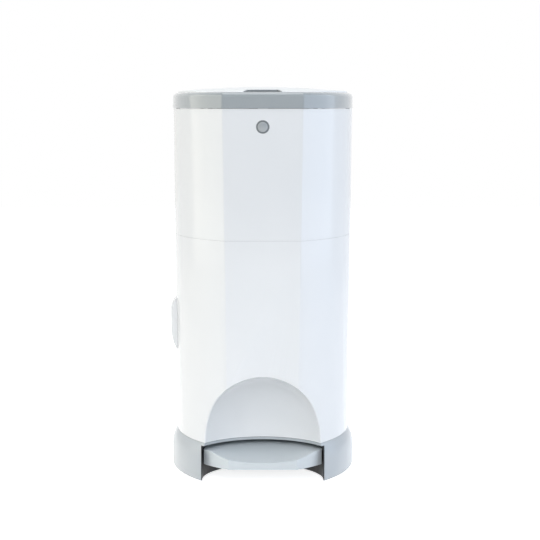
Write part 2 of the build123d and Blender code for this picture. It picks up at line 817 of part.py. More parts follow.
def make_trap_door():
    top, low = trap_top_z, trap_top_z - trap_thick
    half = trap_barrel_half
    disc = bar_z(trap_r, 0, 0, low, top)
    disc += bar_z(throat_r - slot_half, 0, 0, low - trap_crown, low)
    disc += block(-half, half, throat_r - 2 * trap_barrel_r, trap_axis_y, low, top)
    disc += bar_x(trap_barrel_r, -half, half, trap_axis_y, trap_axis_z)
    disc += crank(-crank_x, trap_axis_y, trap_axis_z, 1, trap_barrel_r)
    return disc - bar_x(small_pin_r + fit, -2 * half, 2 * half, trap_axis_y, trap_axis_z)


def make_trap_seal():
    high = trap_top_z + trap_seal_h
    return bar_z(trap_r - bury, 0, 0, trap_top_z, high) - bar_z(
        throat_r + bury, 0, 0, trap_top_z - bury, high + bury)


def make_trap_hinge_pin():
    reach = trap_barrel_half + 2 * trap_lug
    return bar_x(small_pin_r, -reach, reach, trap_axis_y, trap_axis_z)


def make_button():
    """A domed cap, a flange that stops it behind the bezel, and a stem to the latch."""
    front = -half_depth - button_proud
    cap = bar_y(button_r, 0, front - bury, bury - half_depth, button_z)
    cap &= Pos(0, front + button_dome_r, button_z) * Sphere(button_dome_r)
    stem = bar_y(stem_r, 0, -half_depth, latch_y, button_z)
    stop = front_wall_y + 2 * bury
    flange = bar_y(button_r + button_flange, 0, stop, stop + button_flange_thick, button_z)
    return cap + stem + flange


def make_button_bezel():
    ring = bar_y(bezel_r, 0, -half_depth - bezel_proud, -half_depth, button_z)
    ring = fillet(ring.faces().sort_by(Axis.Y)[0].edges(), 0.75 * bezel_proud)
    ring += bar_y(bezel_r - bezel_lip - fit, 0, -half_depth - 0.5 * bezel_proud, front_wall_y + bury,
                  button_z)
    return ring - bar_y(button_r + button_gap, 0, -far, 0, button_z)


def make_latch_slide():
    top = seam_z - latch_down
    slide = block(-latch_half, latch_half, latch_y, latch_y + latch_thick, button_z - latch_low, top)
    return slide + block(-latch_nose_half, latch_nose_half, latch_y - latch_nose, latch_y,
                         top - latch_nose_high, top)


def make_button_spring():
    pitch = button_spring_long / button_turns
    start = latch_y + latch_thick + spring_wire_r
    return Pos(0, start, button_z) * Rot(-90, 0, 0) * coil(
        button_spring_r, button_wire_r, pitch, button_turns)


def make_button_bracket():
    front = latch_y + latch_thick + bracket_gap
    return block(-bracket_half, bracket_half, front, front + bracket_thick, button_z - latch_low,
                 frame_z)


def make_door():
    top = door_top_z - fine_gap
    skin = shell(door_low_z, top)
    skin &= block(-far, 0, -far, door_edge_y - seam_gap, 0, far) + block(
        0, far, -far, hinge_y, 0, far)
    scoop = toe_space(wall) & tower(door_low_z, top, wall - 0.2 * bury)
    door = skin + scoop - toe_space()
    door += bar_z(barrel_r, hinge_x, hinge_y, door_low_z, top)
    for z0, z1 in ((0, door_low_z + door_pin_reach), (top - door_pin_reach, far)):
        door -= bar_z(door_pin_r + fit, hinge_x, hinge_y, z0, z1)
    for x, z in handle_holes():
        door -= bar_x(handle_screw_r + fit, x - wall, x + 2 * wall, handle_screw_y, z)
    return door


def make_door_pins():
    low = bar_z(door_pin_r, hinge_x, hinge_y, skirt_top_z - wall + fit,
                door_low_z + door_pin_reach - door_pin_end)
    high = bar_z(door_pin_r, hinge_x, hinge_y, door_top_z - door_pin_reach + door_pin_end,
                 door_top_z + door_pin_reach - bury - door_pin_end)
    return group([low, high])


def make_door_handle():
    """A smooth bulge, hollow from behind for the fingers."""
    low, high = handle_low_z, handle_high_z
    face_x = side_at(0, (low + high) / 2)
    root, out = face_x - handle_root, face_x + handle_proud
    shoulder = out - 0.3 * handle_proud
    with BuildLine() as line:
        Line((root, low), (face_x, low))
        ThreePointArc((face_x, low), (shoulder, low + handle_lead / 2), (out, low + handle_lead))
        Line((out, low + handle_lead), (out, high - handle_tail))
        ThreePointArc((out, high - handle_tail), (shoulder, high - 0.4 * handle_tail),
                      (face_x, high))
        Line((face_x, high), (root, high))
        Line((root, high), (root, low))
    grip = extrude(Plane.XZ * make_face(line.edges()), handle_half, both=True)
    outer = [e for e in grip.edges() if abs(abs(e.center().Y) - handle_half) < fit
             and e.center().X > face_x + seam_gap]
    grip = fillet(outer, handle_edge_r)
    grip -= block(0, out - handle_skin, finger_y, far, low + 0.75 * handle_lead, high - handle_tail)
    grip -= tower(low - bury, high + bury)
    for x, z in handle_holes():
        grip -= bar_x(handle_screw_r + fit, -x - bury, -x + wall + 0.5 * bury, handle_screw_y, z)
    return mirror(grip, Plane.YZ)


def handle_holes():
    """Screw holes through the door's left wall, below the handle's two ends."""
    heights = (handle_low_z + handle_tail, handle_high_z - 0.7 * handle_tail)
    return [(-side_at(handle_screw_y, z), z) for z in heights]


def make_handle_screws():
    screws = []
    for x, z in handle_holes():
        inside = x + wall + 0.4 * bury
        shank = bar_x(handle_screw_r, x - wall, inside, handle_screw_y, z)
        head = bar_x(2 * handle_screw_r, inside, inside + small_head_h, handle_screw_y, z)
        screws.append(shank + head)
    return group(screws)


def make_door_catch():
    """A tongue inside the door's left wall that reaches behind its edge."""
    low, high = catch_z - catch_half, catch_z + catch_half
    tip_y = door_edge_y + catch_reach
    x = -side_at(tip_y, low, wall) + bite_gap + 2 * fit
    tongue = block(x, x + catch_thick, -catch_root, tip_y, low, high)
    root = block(x - wall, x + catch_thick, -catch_root, door_edge_y - catch_root, low, high)
    return tongue + (root & tower(low, high, wall + fit))


def make_strike():
    low, high = catch_z - strike_half, catch_z + strike_half
    start = door_edge_y + catch_reach + bite_gap
    x = -side_at(start, catch_z, wall)
    stop = block(x - wall, x + strike_in, start, start + strike_thick, low, high)
    return stop & tower(low, high, wall)


def make_liner_cutter():
    """A bar across the door's inside with a slot for the film and a blade in it."""
    y = front_wall_y
    high = cutter_low_z + cutter_high
    case = block(-cutter_half, cutter_half, y, y + cutter_deep, cutter_low_z, high)
    slot_y = y + cutter_slot_back
    return case - block(-cutter_half - bury, cutter_open_x, slot_y, slot_y + cutter_slot,
                        cutter_low_z + 2 * wall, high - 2 * wall)


def make_cutter_blade():
    y = front_wall_y + cutter_slot_back + (cutter_slot - blade_thick) / 2
    low = cutter_low_z + 2 * wall
    return block(-blade_half, blade_half, y, y + blade_thick, low, low + cutter_high / 2 - wall)


makers = {
    "base": make_base,
    "alcove_lining": make_alcove_lining,
    "rubber_feet": make_rubber_feet,
    "housing": make_housing,
    "housing_screws": make_housing_screws,
    "top_frame": make_top_frame,
    "frame_screws": make_frame_screws,
    "liner_funnel": make_liner_funnel,
    "rod_guide_lower": lambda: make_rod_guide(guide_z[0]),
    "rod_guide_upper": lambda: make_rod_guide(guide_z[1]),
    "guide_screws": make_guide_screws,
    "pedal": make_pedal,
    "pedal_lever": make_pedal_lever,
    "lever_screws": make_lever_screws,
    "pedal_axle": make_pedal_axle,
    "push_rod": make_push_rod,
    "rod_foot": make_rod_foot,
    "rod_collar": make_rod_collar,
    "rod_spring": make_rod_spring,
    "rod_head": make_rod_head,
    "lid": make_lid,
    "lid_inner": make_lid_inner,
    "lid_screws": make_lid_screws,
    "lid_seal": make_lid_seal,
    "lid_catch": make_lid_catch,
    "lid_hinge_pin": make_lid_hinge_pin,
    "flap": make_flap,
    "finger_grip": make_finger_grip,
    "flap_hinge_pin": make_flap_hinge_pin,
    "trap_door": make_trap_door,
    "trap_seal": make_trap_seal,
    "trap_hinge_pin": make_trap_hinge_pin,
    "button": make_button,
    "button_bezel": make_button_bezel,
    "latch_slide": make_latch_slide,
    "button_spring": make_button_spring,
    "button_bracket": make_button_bracket,
    "door": make_door,
    "door_pins": make_door_pins,
    "door_handle": make_door_handle,
    "handle_screws": make_handle_screws,
    "door_catch": make_door_catch,
    "strike": make_strike,
    "liner_cutter": make_liner_cutter,
    "cutter_blade": make_cutter_blade,
}

for name, maker in makers.items():
    export_step(maker(), f"parts/{name}.step")
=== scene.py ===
import json
import math

import bmesh
import bpy
from mathutils import Matrix, Vector


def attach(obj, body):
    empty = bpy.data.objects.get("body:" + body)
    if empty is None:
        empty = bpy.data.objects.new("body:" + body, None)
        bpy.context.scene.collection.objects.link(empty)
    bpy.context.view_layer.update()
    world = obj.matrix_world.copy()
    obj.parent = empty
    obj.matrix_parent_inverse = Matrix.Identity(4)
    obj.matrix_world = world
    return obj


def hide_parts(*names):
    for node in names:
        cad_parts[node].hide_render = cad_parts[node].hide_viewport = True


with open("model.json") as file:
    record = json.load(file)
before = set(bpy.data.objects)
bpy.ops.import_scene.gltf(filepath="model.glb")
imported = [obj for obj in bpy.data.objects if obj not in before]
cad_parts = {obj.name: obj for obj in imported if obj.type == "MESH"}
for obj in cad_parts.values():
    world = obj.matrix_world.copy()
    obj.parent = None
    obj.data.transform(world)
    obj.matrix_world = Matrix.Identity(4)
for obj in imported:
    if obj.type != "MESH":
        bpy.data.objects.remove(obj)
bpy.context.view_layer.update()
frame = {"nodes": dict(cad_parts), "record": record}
nodes = frame["nodes"]
bodyOf = {node: body for body, members in frame["record"]["behaviour"]["bodies"].items()
          for node in members}
slotOf = {row["node"]: row["material_slot"] for row in frame["record"]["subparts"]}
scene = bpy.context.scene
print("frame loaded")

# colours are linear, sizes in metres, noise scales per metre
# each roughness stays on one side of 0.27, because the denoiser mottles a surface that crosses it
shellWhite = {  # glossy white moulding of the body and door
    "colour": (0.80, 0.81, 0.82), "shade": (0.785, 0.798, 0.81), "patch": 7.0,
    "roughness": (0.19, 0.25), "smudge": 34.0, "grain": 520.0, "depth": 0.00002, "bump": 0.10,
    "coat": 0.25, "coatRoughness": 0.08, "scuff": 0.03, "scuffColour": (0.66, 0.67, 0.68),
}
ringGrey = {  # satin grey of the lid
    "colour": (0.35, 0.38, 0.395), "shade": (0.342, 0.373, 0.389), "patch": 9.0,
    "roughness": (0.19, 0.25), "smudge": 30.0, "grain": 700.0, "depth": 0.00002, "bump": 0.08,
    "coat": 1.0, "coatRoughness": 0.10, "scuff": 0.04, "scuffColour": (0.46, 0.48, 0.49),
}
flapPale = {  # pale satin panel in the lid
    "colour": (0.83, 0.855, 0.865), "shade": (0.81, 0.84, 0.852), "patch": 8.0,
    "roughness": (0.29, 0.35), "smudge": 36.0, "grain": 640.0, "depth": 0.00002, "bump": 0.10,
    "coat": 0.2, "coatRoughness": 0.15, "scuff": 0.04, "scuffColour": (0.68, 0.70, 0.71),
}
notchPaintedShade = {  # dark cup of the finger grip, dark as painted shade at the back of the lid's notch
    "colour": (0.25, 0.27, 0.285), "shade": (0.22, 0.24, 0.255), "patch": 30.0,
    "roughness": (0.34, 0.45), "smudge": 90.0, "grain": 900.0, "depth": 0.00004, "bump": 0.2,
    "coat": 0.0, "coatRoughness": 0.3, "scuff": 0.2, "scuffColour": (0.34, 0.35, 0.36),
}
baseGrey = {  # light grey of the base
    "colour": (0.45, 0.485, 0.512), "shade": (0.44, 0.477, 0.504), "patch": 10.0,
    "roughness": (0.29, 0.36), "smudge": 40.0, "grain": 760.0, "depth": 0.00002, "bump": 0.10,
    "coat": 0.5, "coatRoughness": 0.16, "scuff": 0.08, "scuffColour": (0.40, 0.42, 0.43),
}
pedalGrey = {  # the foot pedal, lighter than the base: partly its own grey, partly raised as painted light for its shaded top
    "colour": (0.60, 0.645, 0.67), "shade": (0.59, 0.635, 0.662), "patch": 14.0,
    "roughness": (0.29, 0.36), "smudge": 50.0, "grain": 760.0, "depth": 0.00002, "bump": 0.12,
    "coat": 0.2, "coatRoughness": 0.18, "scuff": 0.10, "scuffColour": (0.54, 0.56, 0.57),
}
buttonGrey = {  # polished cap of the release button
    "colour": (0.37, 0.395, 0.41), "shade": (0.35, 0.375, 0.39), "patch": 60.0,
    "roughness": (0.13, 0.18), "smudge": 120.0, "grain": 900.0, "depth": 0.00001, "bump": 0.08,
    "coat": 1.0, "coatRoughness": 0.05, "scuff": 0.08, "scuffColour": (0.45, 0.46, 0.47),
}
bezelGrey = {  # darker ring round the button
    "colour": (0.26, 0.28, 0.29), "shade": (0.24, 0.26, 0.27), "patch": 60.0,
    "roughness": (0.20, 0.26), "smudge": 120.0, "grain": 900.0, "depth": 0.00001, "bump": 0.08,
    "coat": 0.6, "coatRoughness": 0.08, "scuff": 0.08, "scuffColour": (0.34, 0.35, 0.36),
}
innerWhite = {  # matt plastic of what is inside
    "colour": (0.70, 0.71, 0.71), "shade": (0.66, 0.67, 0.675), "patch": 12.0,
    "roughness": (0.42, 0.52), "smudge": 60.0, "grain": 620.0, "depth": 0.00005, "bump": 0.3,
    "coat": 0.0, "coatRoughness": 0.3, "scuff": 0.15, "scuffColour": (0.56, 0.56, 0.55),
}
leverBlackAndPaintedShade = {  # the pedal's black lever, and the alcove's lining, a dark sheet of painted shade inside the alcove
    "colour": (0.045, 0.047, 0.05), "shade": (0.03, 0.031, 0.033), "patch": 30.0,
    "roughness": (0.45, 0.6), "smudge": 80.0, "grain": 800.0, "depth": 0.00008, "bump": 0.4,
    "coat": 0.0, "coatRoughness": 0.3, "scuff": 0.3, "scuffColour": (0.10, 0.10, 0.10),
}
rubberDark = {  # feet and seals
    "colour": (0.022, 0.022, 0.024), "shade": (0.035, 0.035, 0.037), "patch": 45.0,
    "roughness": (0.65, 0.85), "smudge": 110.0, "grain": 1100.0, "depth": 0.0001, "bump": 0.5,
    "coat": 0.0, "coatRoughness": 0.3, "scuff": 0.25, "scuffColour": (0.07, 0.07, 0.068),
}
steelBrushed = {  # pins, rod, springs, screws and blade
    "colour": (0.58, 0.585, 0.60), "shade": (0.50, 0.505, 0.52), "roughness": (0.29, 0.42),
    "stretch": (60.0, 900.0, 900.0), "depth": 0.00003, "bump": 0.25,
}
scuffing = {  # fine scratches that lie in a few worn places
    "stretch": (12.0, 700.0, 420.0), "turn": (0.3, 0.2, 0.6), "worn": 9.0,
    "line": (0.58, 0.80), "place": (0.47, 0.72), "rougher": 0.015,
}
noiseLook = {  # the detail of each noise, and which of its values are spread over a range
    "roughness": 0.55, "spread": (0.35, 0.65), "patchDetail": 3.0, "smudgeDetail": 4.0,
    "grainDetail": 2.0, "lineDetail": 3.0, "wornDetail": 2.0,
}


def addNode(tree, kind, **inputs):
    node = tree.nodes.new(kind)
    for key, value in inputs.items():
        node.inputs[key.replace("_", " ")].default_value = value
    return node


def calculate(tree, operation, first, second):
    node = tree.nodes.new("ShaderNodeMath")
    node.operation = operation
    for socket, value in zip(node.inputs, (first, second)):
        if isinstance(value, float):
            socket.default_value = value
        else:
            tree.links.new(value, socket)
    return node.outputs[0]


def noiseAt(tree, vector, scale, detail):
    noise = addNode(tree, "ShaderNodeTexNoise", Scale=scale, Detail=noiseLook[detail],
                    Roughness=noiseLook["roughness"])
    tree.links.new(vector, noise.inputs["Vector"])
    return noise.outputs["Fac"]


def spread(tree, value, low, high, source=noiseLook["spread"]):
    ramp = addNode(tree, "ShaderNodeMapRange", From_Min=source[0], From_Max=source[1],
                   To_Min=low, To_Max=high)
    tree.links.new(value, ramp.inputs["Value"])
    return ramp.outputs["Result"]


def linesAlong(tree, place, stretch, turn=(0.0, 0.0, 0.0)):  # noise drawn out into fine lines
    drawn = tree.nodes.new("ShaderNodeMapping")
    drawn.inputs["Rotation"].default_value = turn
    drawn.inputs["Scale"].default_value = stretch
    tree.links.new(place, drawn.inputs["Vector"])
    return noiseAt(tree, drawn.outputs["Vector"], 1.0, "lineDetail")


def blend(tree, factor, first, second):
    mix = tree.nodes.new("ShaderNodeMix")
    mix.data_type = "RGBA"
    for name, value in (("A", first), ("B", second)):
        if isinstance(value, tuple):
            mix.inputs[name].default_value = (*value, 1)
        else:
            tree.links.new(value, mix.inputs[name])
    tree.links.new(factor, mix.inputs["Factor"])
    return mix.outputs["Result"]


def relief(tree, value, look):
    bump = addNode(tree, "ShaderNodeBump", Strength=look["bump"], Distance=look["depth"])
    tree.links.new(value, bump.inputs["Height"])
    return bump.outputs["Normal"]


def scratches(tree, place, amount):
    lines = linesAlong(tree, place, scuffing["stretch"], scuffing["turn"])
    fine = spread(tree, lines, 0.0, amount, scuffing["line"])
    patches = noiseAt(tree, place, scuffing["worn"], "wornDetail")
    worn = spread(tree, patches, 0.0, 1.0, scuffing["place"])
    return calculate(tree, "MULTIPLY", fine, worn)


def newMaterial(name):
    material = bpy.data.materials.new(name)
    material.use_nodes = True
    tree = material.node_tree
    place = tree.nodes.new("ShaderNodeTexCoord").outputs["Object"]
    return material, tree, tree.nodes["Principled BSDF"], place


def mouldedPlastic(name, look):
    material, tree, shader, place = newMaterial(name)
    patches = spread(tree, noiseAt(tree, place, look["patch"], "patchDetail"), 0.0, 1.0)
    smudges = spread(tree, noiseAt(tree, place, look["smudge"], "smudgeDetail"),
                     *look["roughness"])
    grain = noiseAt(tree, place, look["grain"], "grainDetail")
    scuffed = scratches(tree, place, look["scuff"])
    clean = blend(tree, patches, look["colour"], look["shade"])
    colour = blend(tree, scuffed, clean, look["scuffColour"])
    rougher = calculate(tree, "MULTIPLY", scuffed, scuffing["rougher"] / look["scuff"])
    tree.links.new(colour, shader.inputs["Base Color"])
    tree.links.new(calculate(tree, "ADD", smudges, rougher), shader.inputs["Roughness"])
    tree.links.new(relief(tree, grain, look), shader.inputs["Normal"])
    shader.inputs["Coat Weight"].default_value = look["coat"]
    shader.inputs["Coat Roughness"].default_value = look["coatRoughness"]
    return material


def brushedSteel(name, look):
    material, tree, shader, place = newMaterial(name)
    lines = linesAlong(tree, place, look["stretch"])
    colour = blend(tree, spread(tree, lines, 0.0, 1.0), look["colour"], look["shade"])
    tree.links.new(colour, shader.inputs["Base Color"])
    tree.links.new(spread(tree, lines, *look["roughness"]), shader.inputs["Roughness"])
    tree.links.new(relief(tree, lines, look), shader.inputs["Normal"])
    shader.inputs["Metallic"].default_value = 1.0
    return material


plastics = {
    "shellWhite": shellWhite, "ringGrey": ringGrey, "flapPale": flapPale, "notchPaintedShade": notchPaintedShade,
    "baseGrey": baseGrey, "pedalGrey": pedalGrey, "buttonGrey": buttonGrey,
    "bezelGrey": bezelGrey, "innerWhite": innerWhite, "leverBlackAndPaintedShade": leverBlackAndPaintedShade,
    "rubberDark": rubberDark,
}
slotFinish = {  # what each material slot of the record gets
    "white_shell": "shellWhite", "grey_lid": "ringGrey", "pale_flap": "flapPale",
    "grey_base": "baseGrey", "inner_plastic": "innerWhite", "lever_plastic": "leverBlackAndPaintedShade",
    "rubber": "rubberDark", "steel": "steelBrushed",
}
ownFinish = {  # nodes that differ from the rest of their slot
    # the finger grip's cup is dark as painted shade in the notch
    "finger_grip": "notchPaintedShade", "button": "buttonGrey", "button_bezel": "bezelGrey",
    "pedal": "pedalGrey",
}
finishes = {name: mouldedPlastic(name, look) for name, look in plastics.items()}
finishes["steelBrushed"] = brushedSteel("steelBrushed", steelBrushed)


def finishOf(node):
    return finishes[ownFinish.get(node, slotFinish[slotOf[node]])]


for name, node in nodes.items():
    node.data.materials.clear()
    node.data.materials.append(finishOf(name))
print("finishes made")

joining = {"node": 0.00001, "turned": 0.000001}  # corners nearer than this become one


def meshOfNode(node):
    mesh = bmesh.new()
    mesh.from_mesh(nodes[node].data)
    bmesh.ops.remove_doubles(mesh, verts=mesh.verts, dist=joining["node"])
    return mesh


def addPiece(name, mesh, node, smoothAngle):  # a finished piece that stands for a CAD node
    data = bpy.data.meshes.new(name)
    mesh.to_mesh(data)
    mesh.free()
    piece = bpy.data.objects.new(name, data)
    scene.collection.objects.link(piece)
    data.materials.append(finishOf(node))
    data.shade_smooth()
    data.set_sharp_from_angle(angle=math.radians(smoothAngle))
    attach(piece, bodyOf[node])
    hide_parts(node)
    return piece


moulding = {  # angles in degrees; softened is how wide each node's sharp edges are rounded
    "flat": 0.05, "smooth": 32.0, "edgeAngle": 35.0, "edgeSteps": 2,
    "softened": {
        "housing": 0.0002, "door": 0.0002, "lid": 0.0004, "flap": 0.0003, "base": 0.0005,
        # the alcove_lining moulding is a dark sheet of painted shade inside the base's alcove
        "pedal": 0.0005, "door_handle": 0.0003, "finger_grip": 0.0003, "alcove_lining": 0.0003,
        "top_frame": 0.0004, "liner_funnel": 0.0001, "lid_inner": 0.0004, "trap_door": 0.0004,
        "rod_guide_lower": 0.0006, "rod_guide_upper": 0.0006, "rod_head": 0.0006,
        "rod_collar": 0.0005, "rod_foot": 0.0006, "pedal_lever": 0.0006, "latch_slide": 0.0003,
        "button_bracket": 0.0004, "lid_catch": 0.0004, "door_catch": 0.0003, "strike": 0.0004,
        "liner_cutter": 0.0004, "lid_seal": 0.0006, "trap_seal": 0.0008, "push_rod": 0.0004,
        "pedal_axle": 0.0005, "lid_hinge_pin": 0.0003, "flap_hinge_pin": 0.0003,
        "trap_hinge_pin": 0.0003, "door_pins": 0.0003,
    },
}
recessRim = {  # where the rim of the door's toe recess lies, and how it is rounded
    "low": 0.0635, "high": 0.178, "half": 0.1, "front": -0.075, "facing": -0.3,
    "corner": 12.0, "width": 0.0022, "steps": 4,
}


def onRim(corner):
    x, y, z = corner.co
    return (recessRim["low"] < z < recessRim["high"] and abs(x) < recessRim["half"]
            and y < recessRim["front"])


def softenRim(mesh):  # rounds the convex outer edge of the toe recess
    rim = []
    for edge in mesh.edges:
        if len(edge.link_faces) == 2 and all(onRim(corner) for corner in edge.verts):
            sideways = max(face.normal.y for face in edge.link_faces)
            turn = math.degrees(edge.calc_face_angle_signed())
            if turn > recessRim["corner"] and sideways < recessRim["facing"]:
                rim.append(edge)
    bmesh.ops.bevel(mesh, geom=rim, offset=recessRim["width"], segments=recessRim["steps"],
                    profile=0.5, affect="EDGES", clamp_overlap=True, material=-1)


def smoothMoulding(node):
    mesh = meshOfNode(node)
    bmesh.ops.dissolve_limit(mesh, angle_limit=math.radians(moulding["flat"]), verts=mesh.verts,
                             edges=mesh.edges)
    if node == "door":
        softenRim(mesh)
    piece = addPiece(node + "_moulding", mesh, node, moulding["smooth"])
    soft = piece.modifiers.new("softEdges", "BEVEL")
    soft.width = moulding["softened"][node]
    soft.segments = moulding["edgeSteps"]
    soft.limit_method = "ANGLE"
    soft.angle_limit = math.radians(moulding["edgeAngle"])
    soft.harden_normals = True


for node in moulding["softened"]:
    smoothMoulding(node)
print("mouldings made")


def turned(profile, steps, closed=False):  # a form spun round Z from (radius, height) pairs
    mesh = bmesh.new()
    corners = [mesh.verts.new((across, 0, up)) for across, up in profile]
    follow = corners[1:] + corners[:1] if closed else corners[1:]
    edges = [mesh.edges.new(pair) for pair in zip(corners, follow)]
    bmesh.ops.spin(mesh, geom=corners + edges, cent=(0, 0, 0), axis=(0, 0, 1), angle=math.tau,
                   steps=steps, use_merge=True)
    bmesh.ops.remove_doubles(mesh, verts=mesh.verts, dist=joining["turned"])
    bmesh.ops.recalc_face_normals(mesh, faces=mesh.faces)
    return mesh


def copiesOf(form, places):  # one mesh with a copy of the form at each place
    data = bpy.data.meshes.new("copied")
    form.to_mesh(data)
    form.free()
    mesh = bmesh.new()
    for place in places:
        before = len(mesh.verts)
        mesh.from_mesh(data)
        mesh.verts.ensure_lookup_table()
        bmesh.ops.transform(mesh, matrix=place, verts=mesh.verts[before:])
    bpy.data.meshes.remove(data)
    return mesh


def facing(at, direction):  # turns a form's +Z to the direction and moves it there
    turn = Vector(direction).to_track_quat("Z", "Y").to_matrix().to_4x4()
    return Matrix.Translation(at) @ turn


def looseParts(node):  # the corners of each separate solid of a node
    mesh = meshOfNode(node)
    mesh.verts.ensure_lookup_table()
    left = set(mesh.verts)
    parts = []
    for first in mesh.verts:
        if first in left:
            left.discard(first)
            part = [first]
            for corner in part:  # grows while it is walked
                for edge in corner.link_edges:
                    other = edge.other_vert(corner)
                    if other in left:
                        left.discard(other)
                        part.append(other)
            parts.append([corner.co.copy() for corner in part])
    mesh.free()
    return parts


screwLook = {  # lengths in metres, the others as shares of the head's or shank's size
    "near": 0.0001, "steps": 24, "smooth": 30.0, "pitch": 0.0011, "root": 0.8, "tip": 0.002,
    "head": ((0.0, 0.0), (0.5, -0.04), (0.78, -0.14), (0.93, -0.3), (1.0, -0.55), (1.0, -1.0)),
    "slotHalf": 0.1, "slotReach": 0.56, "slotDeep": 0.55, "slotTaper": 0.03, "topFrom": -0.3,
}


def screwSizes(corners):  # its place and sizes, read from the CAD screw
    low = Vector([min(corner[i] for corner in corners) for i in range(3)])
    high = Vector([max(corner[i] for corner in corners) for i in range(3)])
    span = high - low
    along = max(range(3), key=lambda i: span[i])
    middle = (low + high) / 2

    def widest(end):
        return max((corner - middle)[across] for corner in corners for across in range(3)
                   if across != along and abs(corner[along] - end) < screwLook["near"])

    headHigh = widest(high[along]) > widest(low[along])
    head, tip = (high, low) if headHigh else (low, high)
    top = middle.copy()
    top[along] = head[along]
    direction = Vector((0, 0, 0))
    direction[along] = 1 if headHigh else -1
    headRadius, shankRadius = widest(head[along]), widest(tip[along])
    headDeep = max(abs(corner[along] - head[along]) for corner in corners
                   if max(abs((corner - middle)[i]) for i in range(3) if i != along)
                   > (headRadius + shankRadius) / 2)
    return facing(top, direction), headRadius, headDeep, shankRadius, span[along]


def screwForm(headRadius, headDeep, shankRadius, long):  # pan head, thread and cross recess
    profile = [(across * headRadius, up * headDeep) for across, up in screwLook["head"]]
    height, end = -headDeep, screwLook["tip"] - long
    root = screwLook["root"] * shankRadius
    while height > end + screwLook["pitch"]:
        profile += [(shankRadius, height), (root, height - screwLook["pitch"] / 2)]
        height -= screwLook["pitch"]
    profile += [(shankRadius, height), (root, end), (0.0, -long)]
    mesh = turned(profile, screwLook["steps"])
    half, reach = screwLook["slotHalf"] * headRadius, screwLook["slotReach"] * headRadius
    topFrom = screwLook["topFrom"] * headDeep
    for along in (0, 1):
        for offset in (-reach, -half, half, reach):
            at, across = [0, 0, 0], [0, 0, 0]
            at[along], across[along] = offset, 1
            faces = [face for face in mesh.faces if face.calc_center_median().z > topFrom]
            edges = {edge for face in faces for edge in face.edges}
            corners = {corner for face in faces for corner in face.verts}
            bmesh.ops.bisect_plane(mesh, geom=[*corners, *edges, *faces], plane_co=at,
                                   plane_no=across, dist=joining["turned"])
    slot = []
    for face in mesh.faces:
        x, y, z = face.calc_center_median()
        if z > topFrom and min(abs(x), abs(y)) < half and max(abs(x), abs(y)) < reach:
            slot.append(face)
    bmesh.ops.inset_region(mesh, faces=slot, thickness=screwLook["slotTaper"] * headRadius,
                           depth=-screwLook["slotDeep"] * headDeep)
    return mesh


def makeScrews(node):  # the screws of one node are alike
    found = [screwSizes(corners) for corners in looseParts(node)]
    form = screwForm(*found[0][1:])
    mesh = copiesOf(form, [place for place, *sizes in found])
    addPiece(node + "_turned", mesh, node, screwLook["smooth"])


for node in ("housing_screws", "frame_screws", "guide_screws", "lever_screws", "lid_screws",
             "handle_screws"):
    makeScrews(node)
print("screws made")

footLook = {  # ribs below and a groove round the side
    "steps": 48, "smooth": 40.0,
    "profile": (
        (0.0, 0.0006), (0.0030, 0.0006), (0.0034, 0.0), (0.0052, 0.0), (0.0055, 0.0005),
        (0.0062, 0.0005), (0.0065, 0.0), (0.0079, 0.0), (0.0087, 0.00025), (0.00895, 0.001),
        (0.00895, 0.0016), (0.0086, 0.0019), (0.00895, 0.0022), (0.00895, 0.004), (0.0, 0.004),
    ),
}


def makeFeet():
    places = []
    for corners in looseParts("rubber_feet"):
        middle = sum((corner.xy for corner in corners), Vector((0, 0))) / len(corners)
        places.append(Matrix.Translation((*middle, 0)))
    mesh = copiesOf(turned(footLook["profile"], footLook["steps"]), places)
    addPiece("rubber_feet_turned", mesh, "rubber_feet", footLook["smooth"])


makeFeet()
print("feet made")

buttonLook = {  # pairs of radius and height, which run from the middle of the dome inwards
    "steps": 64, "smooth": 35.0, "z": 0.5646, "front": -0.1584, "ringFront": -0.1558,
    "ball": 0.0138, "dome": (0.0, 0.002, 0.004, 0.0055, 0.0066, 0.0072),
    "edge": ((0.0077, -0.0025), (0.0081, -0.0030), (0.00838, -0.0037), (0.0085, -0.0045)),
    "inside": ((0.0085, -0.0084), (0.0097, -0.0084), (0.0097, -0.0099), (0.005, -0.0099),
               (0.005, -0.0204), (0.0, -0.0204)),
    "ring": ((0.00885, -0.0048), (0.00885, -0.0004), (0.00895, -0.00015), (0.00915, -0.00003),
             (0.0094, 0.0), (0.0097, -0.00005), (0.01, -0.0002), (0.01025, -0.00045),
             (0.0104, -0.0008), (0.00975, -0.0008), (0.00975, -0.0048)),
}


def makeButton():
    ball = buttonLook["ball"]
    dome = [(across, math.sqrt(ball ** 2 - across ** 2) - ball) for across in buttonLook["dome"]]
    cap = turned([*dome, *buttonLook["edge"], *buttonLook["inside"]], buttonLook["steps"])
    ring = turned(buttonLook["ring"], buttonLook["steps"], closed=True)
    for node, mesh, front in (("button", cap, buttonLook["front"]),
                              ("button_bezel", ring, buttonLook["ringFront"])):
        place = facing((0, front, buttonLook["z"]), (0, -1, 0))
        bmesh.ops.transform(mesh, matrix=place, verts=mesh.verts)
        addPiece(node + "_turned", mesh, node, buttonLook["smooth"])


makeButton()
print("button made")

floorLook = {"size": 6.0, "glow": 0.80, "colour": (0.8, 0.8, 0.8)}


